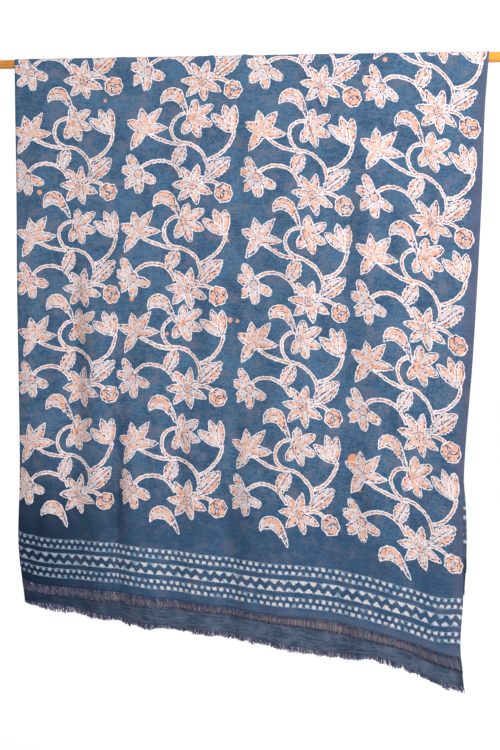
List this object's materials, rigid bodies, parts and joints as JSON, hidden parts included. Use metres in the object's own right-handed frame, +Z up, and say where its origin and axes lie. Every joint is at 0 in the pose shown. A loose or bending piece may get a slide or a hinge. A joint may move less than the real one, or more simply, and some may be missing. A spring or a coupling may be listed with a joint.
{
  "type": "batik stole on a rod",
  "caption": "Indigo cotton stole with a floral vine print, bands of bare warp, woven headers and raw fringes, hanging over a slim cane rod.",
  "frame": {"origin": "on the rod's axis, at the middle of the cloth's top line", "axes": "X along the rod, to the right seen from the front; Y away from the front panel; Z up"},
  "size_m": [1.1, 0.0768, 1.1949],
  "materials": {
    "cane": "varnished yellow-brown cane",
    "printed_cotton": "matt handloom cotton, mottled indigo with a cream and peach print",
    "handloom_end": "bare brownish warp, plain indigo header and raw fringe"
  },
  "bodies": {
    "root": {"rod": "cane", "stole_cloth": "printed_cotton", "end_front": "handloom_end", "end_back": "handloom_end"}
  },
  "joints": []
}
